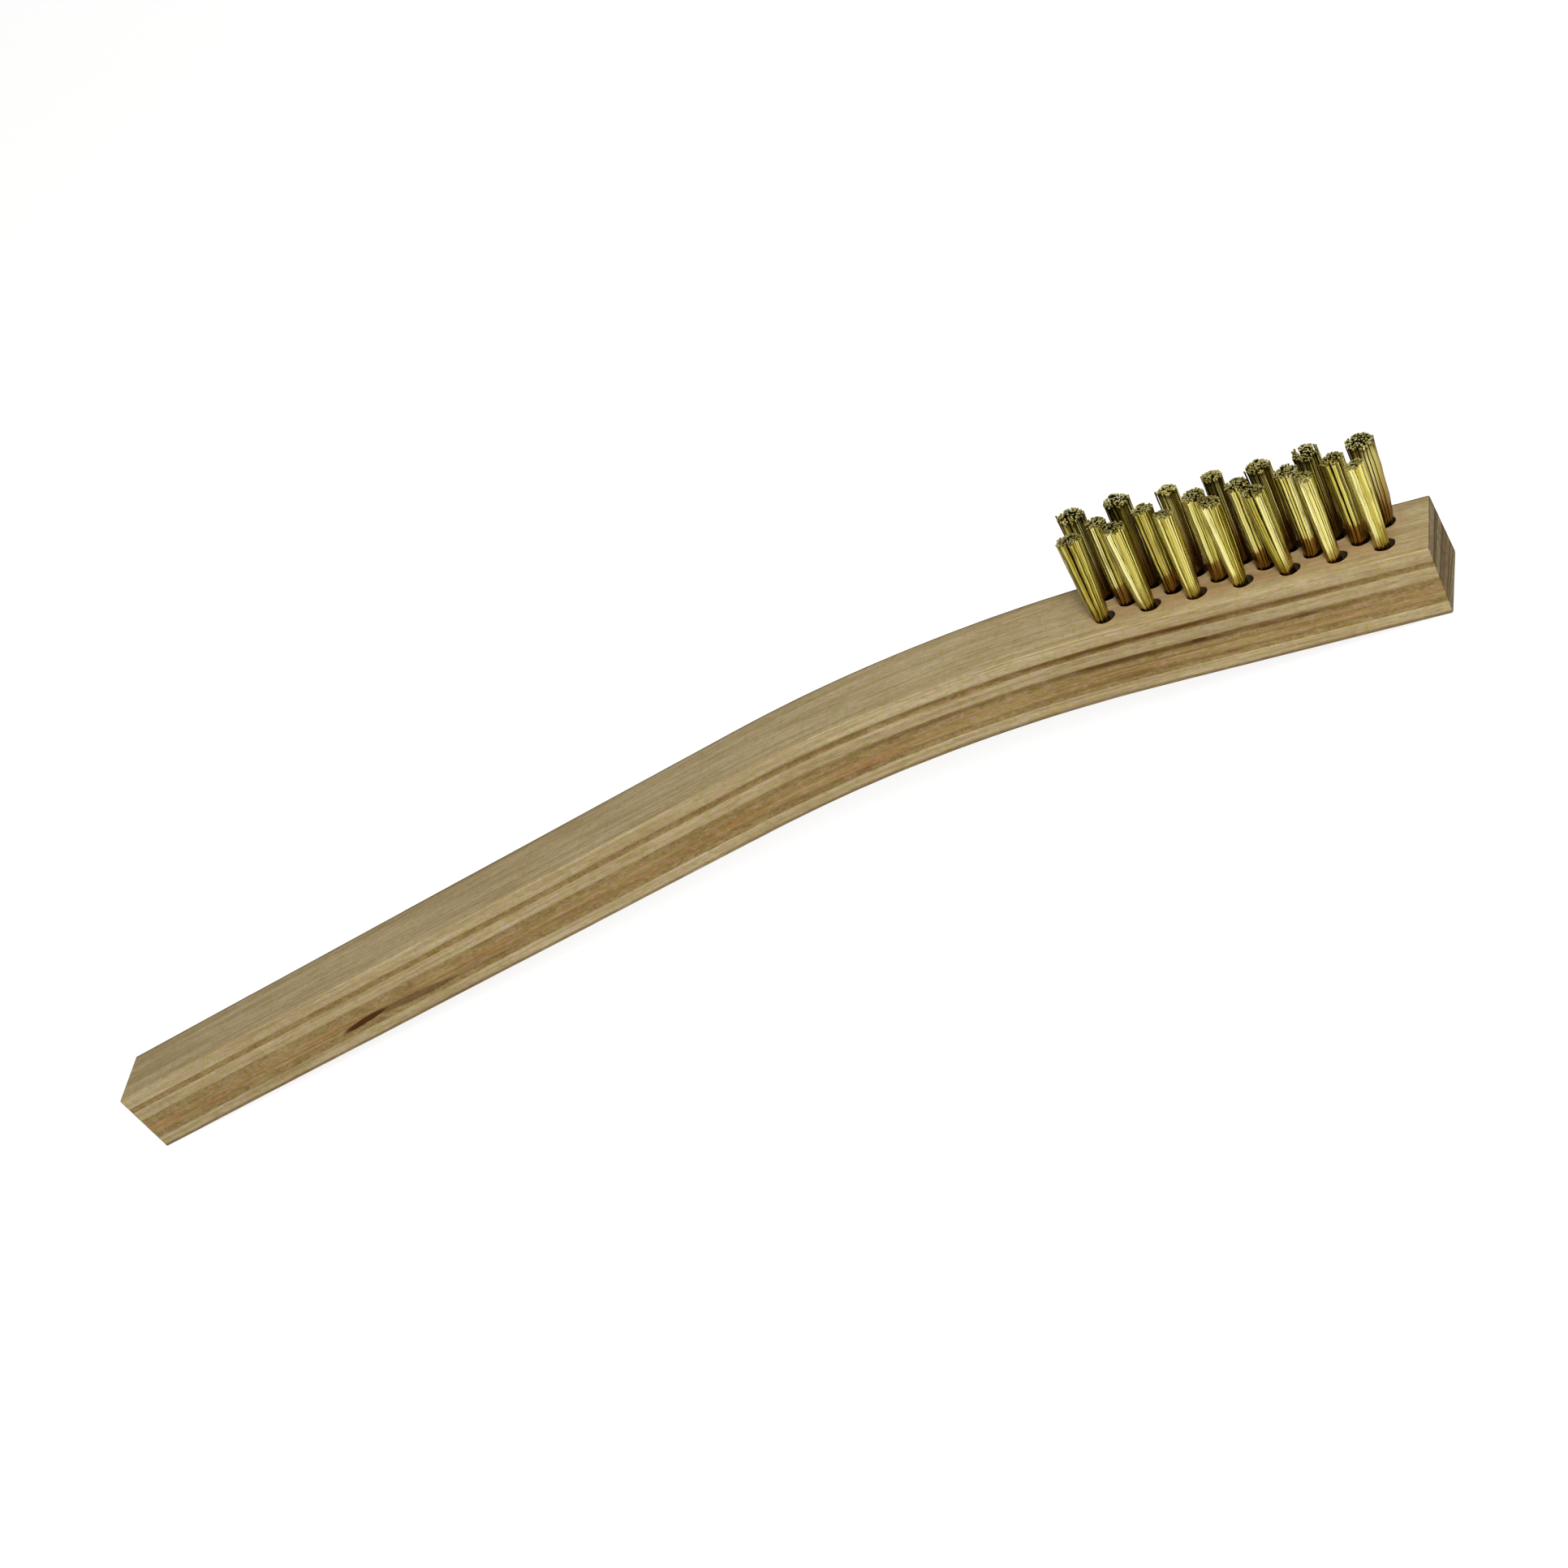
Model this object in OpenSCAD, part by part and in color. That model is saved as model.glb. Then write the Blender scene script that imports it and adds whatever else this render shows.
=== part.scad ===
// Small scratch brush: a bent plywood handle with three staggered rows of brass wire tufts.
// The origin is on the flat back of the head, under the centre of the tuft field.
// +X runs to the head's tip, +Y across the handle, +Z out along the bristles.

/* [Handle] */
// Length of the straight head, from the tip to the start of the bend
head_run = 33; // [31:0.5:40]
// Radius of the bend, measured on the bristle face
bend_radius = 220; // [150:5:300]
// Angle the handle bends away from the bristle side
bend_angle = 15; // [5:0.5:20]
// Length of the straight grip, from the end of the bend to the tail
tail_run = 101; // [60:1:140]
// Width of the handle across the head
head_width = 10.6; // [10:0.1:16]
// Width of the handle at the tail
tail_width = 8.8; // [6:0.1:14]
// Thickness of the plywood, all seven veneers together
thickness = 9.3; // [9:0.1:12]

/* [Veneers] */
// Thickness of each of the two outer veneers
face_ply = 1.75; // [1.6:0.05:1.8]
// Thickness of each thin cross veneer next to an outer one
cross_ply = 0.78; // [0.7:0.02:0.8]
// Thickness of each inner long-grain veneer
inner_ply = 1.55; // [1.4:0.05:1.6]

/* [Tufts] */
// Distance between neighbouring tufts in a row
pitch = 5.57; // [5.4:0.01:5.8]
// Distance from the middle row to each outer row
row_gap = 2.2; // [2.1:0.05:2.6]
// Distance from the last outer tuft to the head's tip
tip_margin = 5.2; // [3:0.1:8]
// Length of wire that stands out of the handle
tuft_free = 11.6; // [6:0.1:18]
// Diameter of a tuft inside its hole
tuft_root_d = 2.1; // [1.8:0.05:2.35]
// Diameter of a tuft at its cut ends
tuft_top_d = 2.95; // [2.4:0.05:3.4]

/* [Holes] */
// Diameter of a tuft hole
hole_d = 2.5; // [2.4:0.05:2.8]
// Full-diameter depth of a tuft hole
hole_depth = 5.4; // [5:0.1:5.8]
// Depth of the drill point below the full diameter
hole_point = 0.8; // [0.4:0.1:0.8]

/* [Anchors] */
// Width of an anchor, a little more than the hole so that it bites the wood
anchor_w = 2.9; // [2.7:0.05:3.1]
// Height of an anchor
anchor_h = 1.9; // [1:0.1:2.2]
// Thickness of the flat anchor wire
anchor_t = 0.45; // [0.3:0.05:0.6]
// Thickness of the folded wires under an anchor
fold_t = 0.5; // [0.3:0.1:0.8]

/* [Hidden] */

$fn = 64;

outer_tufts = 7;
mid_tufts = outer_tufts - 1;

core_ply = thickness - 2 * (face_ply + cross_ply + inner_ply);
plies = [face_ply, cross_ply, inner_ply, core_ply, inner_ply, cross_ply, face_ply];
field_half = (outer_tufts - 1) / 2 * pitch;
tip_x = field_half + tip_margin;
bend_x = tip_x - head_run;
tail_x = bend_x - bend_radius * sin(bend_angle) - tail_run * cos(bend_angle);
taper = (head_width - tail_width) / 2 / (bend_x - tail_x);

tuft_bottom = -(hole_depth - 0.05);
anchor_z = tuft_bottom + fold_t;
anchor_gap = 0.01;
spare = 1;

long_grain = [0.80, 0.72, 0.54];
cross_grain = [0.62, 0.49, 0.32];
brass = [0.80, 0.69, 0.30];
steel = [0.55, 0.55, 0.56];

// Depth of the upper side of veneer i below the bristle face
function ply_depth(i) = i == 0 ? 0 : ply_depth(i - 1) + plies[i - 1];

// Centre of tuft k in a row: side is -1 for the near row, 0 for the middle row, +1 for the far row
function tuft_xy(side, k) =
    [(k - 1) * pitch - field_half + (side == 0 ? pitch / 2 : 0), side * row_gap];

// Centres of every tuft on the head
all_tufts = concat(
    [for (k = [1 : outer_tufts]) tuft_xy(-1, k)],
    [for (k = [1 : mid_tufts]) tuft_xy(0, k)],
    [for (k = [1 : outer_tufts]) tuft_xy(1, k)]
);

// Tapered outline of the handle seen from above, as a tall block
module plan_block() {
    half_head = head_width / 2;
    half_tail = tail_width / 2 - taper * spare;
    translate([0, 0, -bend_radius])
        linear_extrude(height = 2 * bend_radius)
            polygon([
                [tip_x + spare, -half_head],
                [tip_x + spare, half_head],
                [bend_x, half_head],
                [tail_x - spare, half_tail],
                [tail_x - spare, -half_tail],
                [bend_x, -half_head]
            ]);
}

// Untrimmed curved sheet between two depths below the bristle face
module bent_sheet(depth, t) {
    translate([bend_x, -head_width, -depth - t])
        cube([head_run, 2 * head_width, t]);
    translate([bend_x, 0, -bend_radius])
        rotate([90, 0, 0])
            rotate([0, 0, 90])
                rotate_extrude(angle = bend_angle, $fn = 360)
                    translate([bend_radius - depth - t, -head_width])
                        square([t, 2 * head_width]);
    translate([bend_x, 0, -bend_radius])
        rotate([0, -bend_angle, 0])
            translate([-tail_run, -head_width, bend_radius - depth - t])
                cube([tail_run, 2 * head_width, t]);
}

// Lifts a shape built down from the bristle face so that the back of the head is at height 0
module lift() {
    translate([0, 0, thickness])
        children();
}

// Blind hole drilled for one tuft, with its drill point
module tuft_hole() {
    translate([0, 0, -hole_depth])
        cylinder(d = hole_d, h = hole_depth + spare);
    translate([0, 0, -hole_depth - hole_point])
        cylinder(d1 = 0, d2 = hole_d, h = hole_point);
}

// Flat piece of anchor wire, grown by a gap on every side
module anchor(gap = 0) {
    translate([-anchor_w / 2 - gap, -anchor_t / 2 - gap, anchor_z - gap])
        cube([anchor_w + 2 * gap, anchor_t + 2 * gap, anchor_h + 2 * gap]);
}

// One veneer, numbered from 0 at the bristle face
module ply(i, tint) {
    depth = ply_depth(i);
    color(tint)
        lift()
            difference() {
                intersection() {
                    bent_sheet(depth, plies[i]);
                    plan_block();
                }
                if (depth < hole_depth + hole_point)
                    for (p = all_tufts)
                        translate([p[0], p[1], 0]) {
                            tuft_hole();
                            anchor(anchor_gap);
                        }
            }
}

// Wires folded in half around an anchor and flared above the face
module tuft(side, k) {
    p = tuft_xy(side, k);
    fold_r = tuft_root_d / 2;
    wide = 2 * tuft_root_d;
    color(brass)
        lift()
            translate([p[0], p[1], 0])
                difference() {
                    union() {
                        intersection() {
                            translate([0, 0, tuft_bottom])
                                cylinder(d = tuft_root_d, h = -tuft_bottom);
                            union() {
                                translate([-wide / 2, 0, tuft_bottom + fold_r])
                                    rotate([0, 90, 0])
                                        cylinder(r = fold_r, h = wide);
                                translate([-wide / 2, -wide / 2, tuft_bottom + fold_r])
                                    cube([wide, wide, -tuft_bottom]);
                            }
                        }
                        cylinder(d1 = tuft_root_d, d2 = tuft_top_d, h = tuft_free);
                    }
                    anchor(anchor_gap);
                }
}

// All twenty anchors, each its own solid
module tuft_anchors() {
    color(steel)
        lift()
            for (p = all_tufts)
                translate([p[0], p[1], 0])
                    anchor();
}

ply(0, long_grain);  // ply_1_bristle_face
ply(1, cross_grain);  // ply_2_cross
ply(2, long_grain);  // ply_3_long
ply(3, cross_grain);  // ply_4_core_cross
ply(4, long_grain);  // ply_5_long
ply(5, cross_grain);  // ply_6_cross
ply(6, long_grain);  // ply_7_back
tuft(-1, 1);  // tuft_near_1
tuft(-1, 2);  // tuft_near_2
tuft(-1, 3);  // tuft_near_3
tuft(-1, 4);  // tuft_near_4
tuft(-1, 5);  // tuft_near_5
tuft(-1, 6);  // tuft_near_6
tuft(-1, 7);  // tuft_near_7
tuft(0, 1);  // tuft_mid_1
tuft(0, 2);  // tuft_mid_2
tuft(0, 3);  // tuft_mid_3
tuft(0, 4);  // tuft_mid_4
tuft(0, 5);  // tuft_mid_5
tuft(0, 6);  // tuft_mid_6
tuft(1, 1);  // tuft_far_1
tuft(1, 2);  // tuft_far_2
tuft(1, 3);  // tuft_far_3
tuft(1, 4);  // tuft_far_4
tuft(1, 5);  // tuft_far_5
tuft(1, 6);  // tuft_far_6
tuft(1, 7);  // tuft_far_7
tuft_anchors();
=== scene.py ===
"""Looks for the scratch brush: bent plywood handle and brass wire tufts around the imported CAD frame."""
import math
import random
from collections import namedtuple

import bpy
import numpy as np
from mathutils import Matrix, Vector, noise


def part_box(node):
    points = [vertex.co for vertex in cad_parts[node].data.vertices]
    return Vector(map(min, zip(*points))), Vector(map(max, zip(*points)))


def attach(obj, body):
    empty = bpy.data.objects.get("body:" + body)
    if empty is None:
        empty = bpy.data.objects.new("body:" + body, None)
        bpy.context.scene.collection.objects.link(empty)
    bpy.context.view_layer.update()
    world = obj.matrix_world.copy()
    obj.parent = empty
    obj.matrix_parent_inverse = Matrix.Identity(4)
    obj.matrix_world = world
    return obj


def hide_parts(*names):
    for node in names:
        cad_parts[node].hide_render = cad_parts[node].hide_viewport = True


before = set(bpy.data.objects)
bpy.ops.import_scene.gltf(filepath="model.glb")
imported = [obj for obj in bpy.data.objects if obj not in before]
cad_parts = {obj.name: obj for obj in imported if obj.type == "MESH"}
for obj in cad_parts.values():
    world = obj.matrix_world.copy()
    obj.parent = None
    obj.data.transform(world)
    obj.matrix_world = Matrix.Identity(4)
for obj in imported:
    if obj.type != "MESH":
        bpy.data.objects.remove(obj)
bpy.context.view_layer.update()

MM = 0.001
BODY = "root"

# ---------------------------------------------------------------- shape, in mm
HEAD_RUN = 33.0
BEND_RADIUS = 220.0
BEND_ANGLE = math.radians(15.0)
TAIL_RUN = 101.0
HEAD_WIDTH = 10.6
TAIL_WIDTH = 8.8
HOLE_RADIUS = 1.25
HOLE_DEPTH = 5.4
HOLE_POINT = 0.8

PLY_NODES = [
    "ply_1_bristle_face",
    "ply_2_cross",
    "ply_3_long",
    "ply_4_core_cross",
    "ply_5_long",
    "ply_6_cross",
    "ply_7_back",
]
TUFT_NODES = sorted(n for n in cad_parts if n.startswith("tuft_") and n != "tuft_anchors")

face_low, face_high = (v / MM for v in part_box("ply_1_bristle_face"))
FACE_Z = face_high.z
BACK_Z = 0.0  # the frame's origin is on the flat back of the head
TIP_X = face_high.x
TAIL_X = face_low.x
BEND_X = TIP_X - HEAD_RUN
HALF_HEAD = face_high.y
ARC_RUN = BEND_RADIUS * BEND_ANGLE
TAPER = (HEAD_WIDTH - TAIL_WIDTH) / 2 / (BEND_X - TAIL_X)
# Ends of the handle, as distances along it from the start of the bend
S_TIP = -HEAD_RUN
S_TAIL = ARC_RUN + TAIL_RUN


def ply_depths():
    """Upper and lower depth of each veneer below the bristle face, read at the square-cut tip."""
    tops = [FACE_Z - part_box(name)[1].z / MM for name in PLY_NODES]
    return list(zip(tops, tops[1:] + [FACE_Z]))


def on_path(s, depth):
    """(x, z) of a point s mm past the start of the bend, at a depth below the bristle face."""
    ring = BEND_RADIUS - depth
    centre_z = FACE_Z - BEND_RADIUS
    if s <= 0:
        return BEND_X - s, FACE_Z - depth
    if s <= ARC_RUN:
        angle = s / BEND_RADIUS
        return BEND_X - ring * math.sin(angle), centre_z + ring * math.cos(angle)
    past = s - ARC_RUN
    c, n = math.cos(BEND_ANGLE), math.sin(BEND_ANGLE)
    return BEND_X - ring * n - past * c, centre_z + ring * c - past * n


def grain_coords(co):
    """Distance along the handle, across it and below the face, for an array of points in mm."""
    x, y, z = co.T
    back = BEND_X - x
    up = z - (FACE_Z - BEND_RADIUS)
    angle = np.arctan2(back, up)
    c, n = math.cos(BEND_ANGLE), math.sin(BEND_ANGLE)
    on_head, on_bend = back < 0, angle < BEND_ANGLE
    s = np.where(on_bend, angle * BEND_RADIUS, ARC_RUN + back * c - up * n)
    depth = np.where(on_bend, BEND_RADIUS - np.hypot(back, up), BEND_RADIUS - back * n - up * c)
    return np.stack([np.where(on_head, back, s), y, np.where(on_head, BEND_RADIUS - up, depth)], 1)


def half_width(x):
    return HALF_HEAD - TAPER * max(0.0, BEND_X - x)


def new_object(name, verts_mm, faces):
    mesh = bpy.data.meshes.new(name)
    mesh.from_pydata((np.asarray(verts_mm) * MM).tolist(), [], faces)
    mesh.update()
    obj = bpy.data.objects.new(name, mesh)
    bpy.context.scene.collection.objects.link(obj)
    return obj


def ring_faces(start, rings, size):
    """Quads between neighbouring rings of points, numbered from start."""
    faces = []
    for a in range(start, start + (rings - 1) * size, size):
        for j in range(size):
            k = (j + 1) % size
            faces.append((a + j, a + k, a + size + k, a + size + j))
    return faces


def smooth(obj, angle_deg=32):
    obj.data.polygons.foreach_set("use_smooth", [True] * len(obj.data.polygons))
    obj.data.set_sharp_from_angle(angle=math.radians(angle_deg))


def point_attribute(obj, name, kind, values):
    attribute = obj.data.attributes.new(name, kind, "POINT")
    field = "vector" if kind == "FLOAT_VECTOR" else "value"
    attribute.data.foreach_set(field, np.asarray(values, np.float32).ravel())


def finish_piece(obj, node):
    """Hangs a piece on the brush's only body, in place of the CAD node that it draws."""
    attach(obj, BODY)
    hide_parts(node)


# ---------------------------------------------------------------- veneers
STEP = 0.9  # between the cross-sections of a veneer, along the handle
TOP_COLS = 16
SIDE_ROWS = 4
ROUND_STEPS = 5
SMALLEST_ROUND = 0.1  # smaller edge radii are a single bevel
# Radii of the long edges: at the bristle face, at the back, and at the seams between veneers
EASED_TOP = 0.13
EASED_BACK = 0.22
NICKED = 0.035
END_BEVEL = 0.12
BEVELLED_DEPTH = 0.2
# The far lower corner of the tip is sanded up over this run, by this much, and out by this share of that
TIP_SANDED_RUN = 7.0
TIP_SANDING = 0.9
TIP_SLANT = 0.6


def corner_steps(radius):
    return ROUND_STEPS if radius > SMALLEST_ROUND else 1


def ply_loop(d0, d1, top_r, bottom_r):
    """Cross-section of a veneer, as (side, place, depth) going round from the top.

    The place is a share of the half width on the top and bottom, and an inset from the edge at the sides.
    """
    across = [2 * j / TOP_COLS - 1 for j in range(TOP_COLS + 1)]
    right = []
    steps = corner_steps(top_r)
    for k in range(1, steps + 1):
        a = k / steps * math.pi / 2
        right.append((top_r * (1 - math.sin(a)), d0 + top_r * (1 - math.cos(a))))
    for k in range(1, SIDE_ROWS):
        right.append((0.0, d0 + top_r + (d1 - bottom_r - d0 - top_r) * k / SIDE_ROWS))
    steps = corner_steps(bottom_r)
    for k in range(steps):
        a = k / steps * math.pi / 2
        right.append((bottom_r * (1 - math.cos(a)), d1 - bottom_r * (1 - math.sin(a))))
    loop = [("top", place, d0) for place in across]
    loop += [("right", inset, depth) for inset, depth in right]
    loop += [("bottom", -place, d1) for place in across]
    loop += [("left", inset, depth) for inset, depth in reversed(right)]
    return loop


def side_wander(s, sign, depth, cross):
    """Small sideways error of the sawn and sanded side, in mm. Cross veneers are rougher and stand back."""
    slow = noise.noise(Vector((s * 0.05, sign * 7.0, 1.5))) * 0.06
    mid = noise.noise(Vector((s * 0.35, sign * 11.0, depth * 0.4))) * 0.02
    fine = noise.noise(Vector((s * 2.2, sign * 3.0, depth * 3.0))) * (0.018 if cross else 0.008)
    return slow + mid + fine - (0.02 if cross else 0.0)


def tip_share(s):
    """0 along the handle, rising to 1 over the last millimetres of the head."""
    t = min(1.0, max(0.0, (S_TIP + TIP_SANDED_RUN - s) / TIP_SANDED_RUN))
    return t * t * (3 - 2 * t)


def cross_sections():
    """(distance along the handle, inset of the bevelled end) of every cross-section of a veneer."""
    count = int((S_TAIL - S_TIP) / STEP)
    tip = [(S_TIP, END_BEVEL), (S_TIP + END_BEVEL, 0.0)]
    tail = [(S_TAIL - END_BEVEL, 0.0), (S_TAIL, END_BEVEL)]
    return tip + [(S_TIP + (S_TAIL - S_TIP) * k / count, 0.0) for k in range(1, count)] + tail


def build_ply(index, d0, d1):
    first, last = index == 0, index == len(PLY_NODES) - 1
    cross = index % 2 == 1
    top_r = EASED_TOP if first else NICKED
    bottom_r = EASED_BACK if last else NICKED
    loop = ply_loop(d0, d1, top_r, bottom_r)
    sections = cross_sections()
    verts = []
    for s, end_inset in sections:
        x_mid, _ = on_path(s, (d0 + d1) / 2)
        w = half_width(x_mid) - end_inset
        for kind, place, depth in loop:
            if first and depth < d0 + BEVELLED_DEPTH:
                depth += end_inset
            if last and depth > d1 - BEVELLED_DEPTH:
                depth -= end_inset
            x, z = on_path(s, depth)
            if kind in ("top", "bottom"):
                sign = 1 if place > 0 else -1
                flat = top_r if kind == "top" else bottom_r
                y = place * (w - flat) + abs(place) * side_wander(s, sign, depth, cross) * sign
            else:
                sign = 1 if kind == "right" else -1
                y = sign * (w - place + side_wander(s, sign, depth, cross))
            lift = TIP_SANDING * tip_share(s) * (y / w + 1) / 2 * depth / FACE_Z
            verts.append((x + TIP_SLANT * lift, y, z + lift))
    size = len(loop)
    faces = ring_faces(0, len(sections), size)
    faces.append(tuple(range(size - 1, -1, -1)))
    faces.append(tuple((len(sections) - 1) * size + j for j in range(size)))
    return new_object(PLY_NODES[index].replace("ply", "veneer"), verts, faces)


HOLE_SIDES = 40
RIM_WIDENING = 0.09
RAGGEDNESS = 0.07


def hole_cutter(centres):
    """All tuft holes as one mesh: slightly uneven cylinders with a broken rim and a drill point."""
    rim = HOLE_RADIUS + RIM_WIDENING
    rings = [(1.2, rim), (0.03, rim), (-0.10, HOLE_RADIUS), (-HOLE_DEPTH, HOLE_RADIUS)]
    verts, faces = [], []
    for number, (cx, cy) in enumerate(centres):
        base = len(verts)
        for height, radius in rings:
            for k in range(HOLE_SIDES):
                a = 2 * math.pi * k / HOLE_SIDES
                place = Vector((math.cos(a) * 1.7, math.sin(a) * 1.7, number * 3.1))
                r = radius + (noise.noise(place) * RAGGEDNESS if height < 1 else 0.0)
                verts.append((cx + r * math.cos(a), cy + r * math.sin(a), FACE_Z + height))
        point = len(verts)
        verts.append((cx, cy, FACE_Z - HOLE_DEPTH - HOLE_POINT))
        faces += [(a, d, c, b) for a, b, c, d in ring_faces(base, len(rings), HOLE_SIDES)]
        faces.append(tuple(base + k for k in range(HOLE_SIDES)))
        low = base + (len(rings) - 1) * HOLE_SIDES
        faces += [(low + k, point, low + (k + 1) % HOLE_SIDES) for k in range(HOLE_SIDES)]
    return new_object("cutter", verts, faces)


def cut(obj, cutter):
    modifier = obj.modifiers.new("holes", "BOOLEAN")
    modifier.operation = "DIFFERENCE"
    modifier.solver = "EXACT"
    modifier.object = cutter
    bpy.context.view_layer.update()
    graph = bpy.context.evaluated_depsgraph_get()
    mesh = bpy.data.meshes.new_from_object(obj.evaluated_get(graph))
    obj.modifiers.clear()
    obj.data = mesh


# ---------------------------------------------------------------- shader helpers
def srgb(r, g, b):
    def linear(v):
        v /= 255
        return v / 12.92 if v <= 0.04045 else ((v + 0.055) / 1.055) ** 2.4

    return (linear(r), linear(g), linear(b), 1.0)


class Shader:
    """A node material written as nested calls: every method returns an output socket."""

    def __init__(self, name):
        self.material = bpy.data.materials.new(name)
        self.material.use_nodes = True
        self.tree = self.material.node_tree
        self.tree.nodes.clear()
        self.out = self.tree.nodes.new("ShaderNodeOutputMaterial")

    def node(self, kind, inputs, **props):
        made = self.tree.nodes.new(kind)
        for key, value in props.items():
            setattr(made, key, value)
        for key, value in inputs.items():
            self.feed(made.inputs[key], value)
        return made

    def feed(self, socket, value):
        if isinstance(value, bpy.types.NodeSocket):
            self.tree.links.new(value, socket)
        else:
            socket.default_value = value

    def attribute(self, name, output="Fac"):
        return self.node("ShaderNodeAttribute", {}, attribute_name=name).outputs[output]

    def place(self):
        return self.node("ShaderNodeTexCoord", {}).outputs["Object"]

    def vector(self, operation, a, b=(0.0, 0.0, 0.0)):
        return self.node("ShaderNodeVectorMath", {0: a, 1: b}, operation=operation).outputs[0]

    def noise(self, vector, scale, detail=3.0, rough=0.55, distort=0.0):
        """Noise of about one bump per unit, in a space stretched by the three scales."""
        stretched = self.vector("MULTIPLY", vector, scale)
        values = {"Vector": stretched, "Scale": 1.0, "Detail": detail}
        values |= {"Roughness": rough, "Distortion": distort}
        return self.node("ShaderNodeTexNoise", values).outputs["Fac"]

    def openness(self, distance_mm):
        """1 where nothing stands within the distance, falling to 0 deep between things."""
        values = {"Distance": distance_mm * MM}
        return self.node("ShaderNodeAmbientOcclusion", values, samples=8).outputs["AO"]

    def math(self, operation, a, b=0.0):
        return self.node("ShaderNodeMath", {0: a, 1: b}, operation=operation).outputs[0]

    def times(self, a, b):
        return self.math("MULTIPLY", a, b)

    def weighted(self, a, share_a, b, share_b):
        return self.math("ADD", self.times(a, share_a), self.times(b, share_b))

    def away(self, value, centre):
        return self.math("ABSOLUTE", self.math("SUBTRACT", value, centre))

    def span(self, value, a, b, lo=0.0, hi=1.0):
        """value moved from a..b to lo..hi along an S curve, clamped."""
        values = {"Value": value, "From Min": a, "From Max": b, "To Min": lo, "To Max": hi}
        return self.node("ShaderNodeMapRange", values, interpolation_type="SMOOTHSTEP").outputs["Result"]

    def mix(self, factor, a, b, blend="MIX"):
        made = self.node("ShaderNodeMix", {}, data_type="RGBA", blend_type=blend)
        self.feed(made.inputs[0], factor)
        self.feed(made.inputs[6], a)
        self.feed(made.inputs[7], b)
        return made.outputs[2]

    def stain(self, colour, value, start, full, strength, towards):
        """The colour moved towards another one as the value goes from start to full."""
        return self.mix(self.span(value, start, full, 0.0, strength), colour, towards)

    def ramp(self, value, stops):
        made = self.node("ShaderNodeValToRGB", {"Fac": value})
        elements = made.color_ramp.elements
        while len(elements) < len(stops):
            elements.new(0.5)
        for element, (position, colour) in zip(elements, stops):
            element.position = position
            element.color = colour
        return made.outputs["Color"]

    def bump(self, height, strength, distance_mm, normal=None):
        values = {"Height": height, "Strength": strength, "Distance": distance_mm * MM}
        if normal is not None:
            values["Normal"] = normal
        return self.node("ShaderNodeBump", values).outputs["Normal"]

    def surface(self, **inputs):
        shader = self.node("ShaderNodeBsdfPrincipled", {k.replace("_", " "): v for k, v in inputs.items()})
        self.tree.links.new(shader.outputs[0], self.out.inputs["Surface"])
        return self.material


# ---------------------------------------------------------------- wood
# Dark, middle and light tone of a veneer
LIGHT_WOOD = (srgb(145, 124, 82), srgb(179, 162, 123), srgb(202, 189, 153))
CROSS_WOOD = (srgb(110, 86, 44), srgb(146, 123, 78), srgb(172, 152, 106))
CORE_WOOD = (srgb(114, 90, 48), srgb(152, 130, 86), srgb(176, 156, 110))
BROWN_WOOD = (srgb(118, 91, 48), srgb(156, 130, 84), srgb(180, 158, 112))
PLY_TONES = [LIGHT_WOOD, CROSS_WOOD, LIGHT_WOOD, CORE_WOOD, BROWN_WOOD, CROSS_WOOD, LIGHT_WOOD]
# Colour of the glue lines and of the painted shade along the rounded back edge
GLUE_AND_EDGE_SHADE = srgb(88, 58, 12)
KNOT = srgb(70, 42, 14)
PINK_PATCH, GREEN_PATCH = srgb(176, 142, 112), srgb(158, 150, 92)
PINK_BLOTCH, GREEN_BLOTCH = srgb(186, 148, 124), srgb(142, 132, 76)
WARM_PATCH = srgb(160, 108, 56)
END_GRAIN, END_SEAM = srgb(92, 72, 30), srgb(62, 54, 32)
BROWNER_FIELD = srgb(156, 112, 70)
# Painted shade along the far edge of the bristle face: a soft band and a darker rim
FAR_SHADE, FAR_RIM_SHADE = srgb(120, 100, 68), srgb(84, 72, 52)
# Painted shade inside the deep tuft holes
HOLE_SHADE = srgb(34, 22, 8)

# Patterns that follow the fibres: frequency along, across and through, detail, roughness, distortion
FIBRE_NOISES = {
    "broad": (0.05, 1.1, 1.3, 4.0, 0.60, 0.4),
    "fibre": (0.45, 7.0, 7.0, 3.0, 0.65, 0.0),
    "hair": (1.6, 26.0, 26.0, 2.0, 0.60, 0.0),
    "pores": (0.9, 11.0, 11.0, 1.0, 0.50, 0.0),
    "rings": (0.035, 3.0, 3.4, 3.0, 0.50, 0.3),
}
CROSS_STRETCH = 0.35  # the fibres of a cross veneer end at the sides, so they look coarser there
# Patterns that follow the board: frequency along, across and through, detail, roughness
BOARD_NOISES = {
    "mottle": (0.22, 0.5, 0.7, 3.0, 0.55),
    "saw": (4.5, 0.4, 0.5, 2.0, 0.50),
    "tint": (0.35, 0.6, 0.9, 2.0, 0.60),
    "blotch": (1.1, 1.5, 1.7, 3.0, 0.60),
    "fleck": (1.5, 2.4, 2.4, 3.0, 0.70),
    "end_patch": (0.6, 0.9, 1.4, 4.0, 0.65),
    "broken": (0.13, 0.3, 0.5, 4.0, 0.60),
    "warm": (0.10, 0.5, 0.9, 3.0, 0.60),
}

# Dark lines along the sides: depth, half width and strength. The deepest is painted shade on the rounded
# back edge, the others are glue lines
GLUE_AND_EDGE_SHADE_LINES = [
    (1.92, 0.54, 1.0),
    (4.42, 0.60, 0.85),
    (5.50, 0.26, 0.30),
    (6.80, 0.36, 0.42),
    (9.00, 0.34, 0.62),
]
BACK_EDGE_SHADE_DEPTH = 8.9  # lines deeper than this are painted shade on the rounded back edge, equally strong all along
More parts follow.
